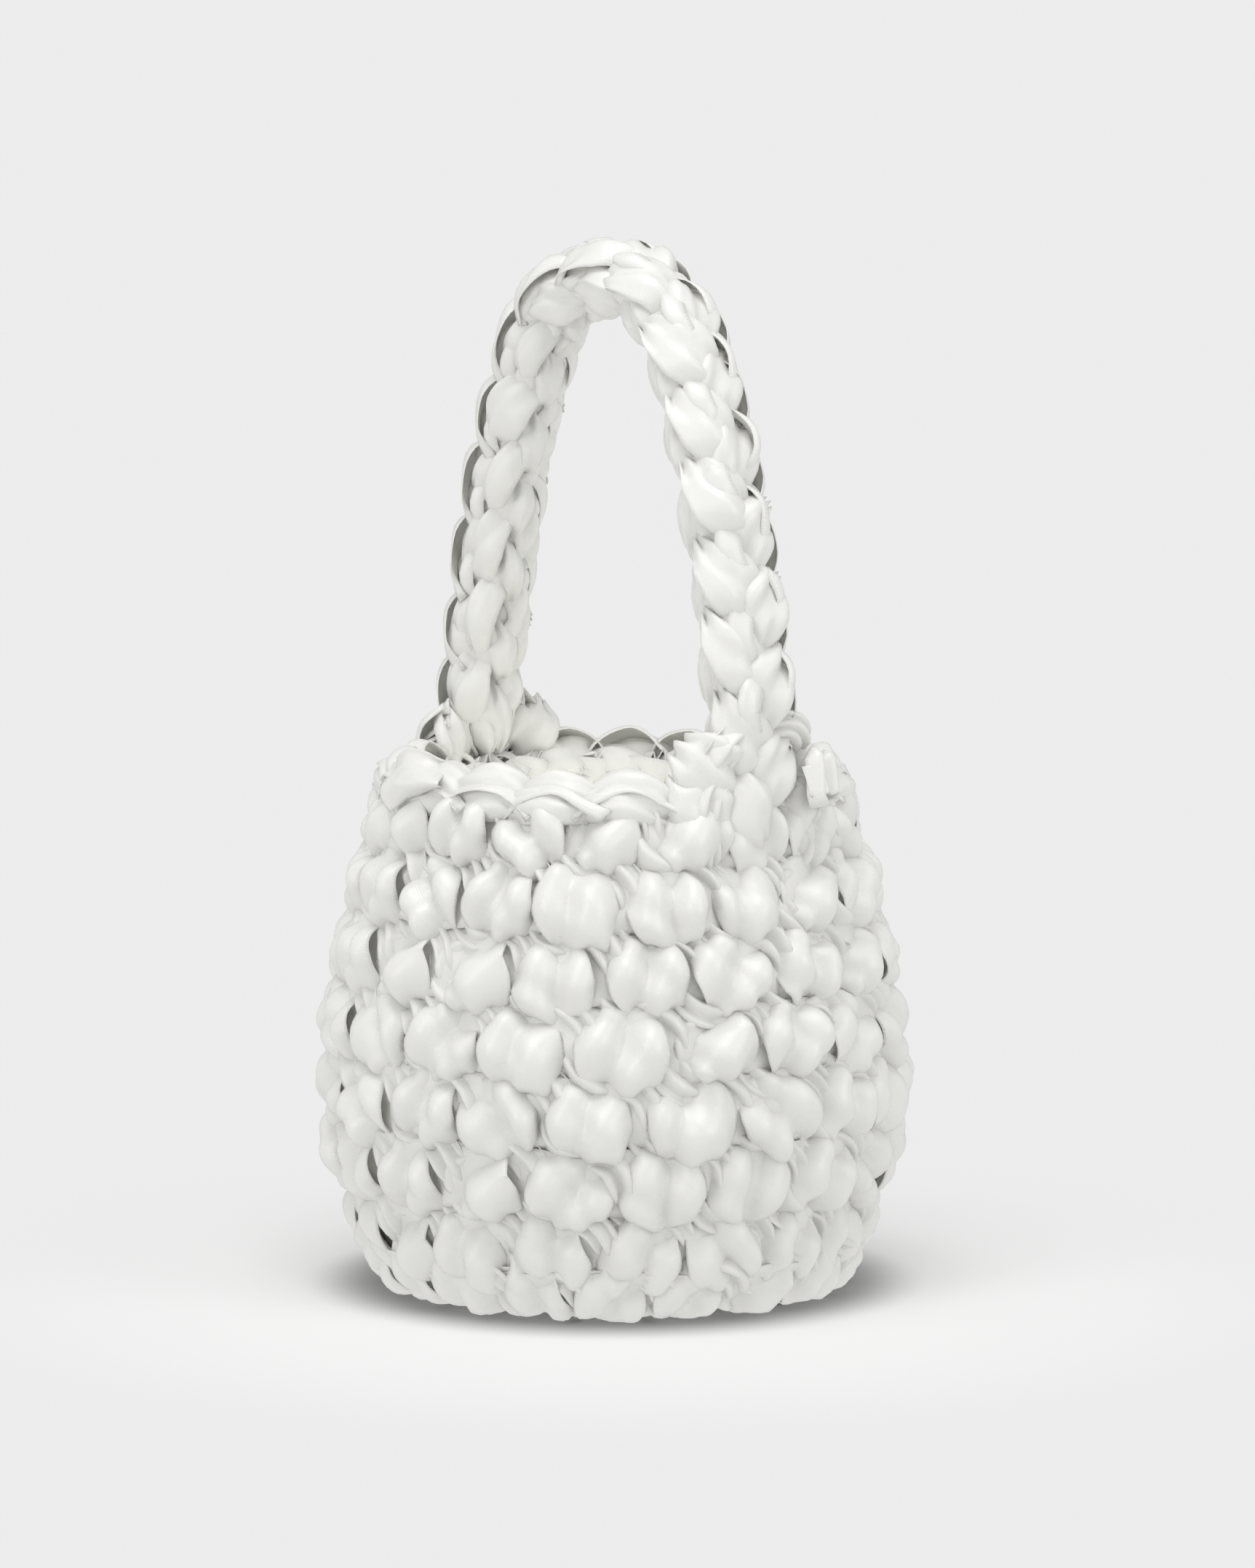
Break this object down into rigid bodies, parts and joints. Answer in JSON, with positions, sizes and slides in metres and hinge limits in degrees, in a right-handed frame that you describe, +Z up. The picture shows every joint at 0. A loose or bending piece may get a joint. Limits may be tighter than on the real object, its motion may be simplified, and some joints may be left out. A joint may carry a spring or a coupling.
{
  "type": "flower girl basket",
  "caption": "Soft barrel-shaped bucket bag crocheted in rounds from wide satin ribbon, open at the top, with an arched handle strip that swings on the rim to carry petals.",
  "frame": {"origin": "middle of the base, on the surface the bag rests on", "axes": "+Z up, through the open mouth to the top of the handle; the handle's two roots stand on the X axis; the handle swings towards +Y and -Y"},
  "size_m": [0.1498, 0.1498, 0.261],
  "materials": {
    "bag_satin": "bright white double-faced satin ribbon, soft sheen, fine weave, beaded edges",
    "handle_satin": "bright white double-faced satin ribbon, soft sheen, fine weave, beaded edges",
    "cut_end_satin": "bright white satin ribbon, single layer, with a cut edge"
  },
  "bodies": {
    "basket": {"base_centre": "bag_satin", "base_round_2": "bag_satin", "base_round_3": "bag_satin", "base_edge_round": "bag_satin", "wall_round_1": "bag_satin", "wall_round_2": "bag_satin", "wall_round_3": "bag_satin", "wall_round_4": "bag_satin", "wall_round_5": "bag_satin", "wall_round_6": "bag_satin", "wall_round_7": "bag_satin", "rim_chain": "bag_satin", "rim_ribbon_end": "cut_end_satin", "handle_root_left": "handle_satin", "handle_root_right": "handle_satin", "handle_ribbon_end": "cut_end_satin"},
    "handle": {"handle_foot_left": "handle_satin", "handle_foot_right": "handle_satin", "handle_leg_left": "handle_satin", "handle_leg_right": "handle_satin", "handle_crown": "handle_satin"}
  },
  "joints": [
    {"name": "handle_swing", "type": "hinge", "parent": "basket", "child": "handle", "pos_m": [0, 0, 0.15], "axis": [1, 0, 0], "range_deg": [-75, 75]}
  ]
}
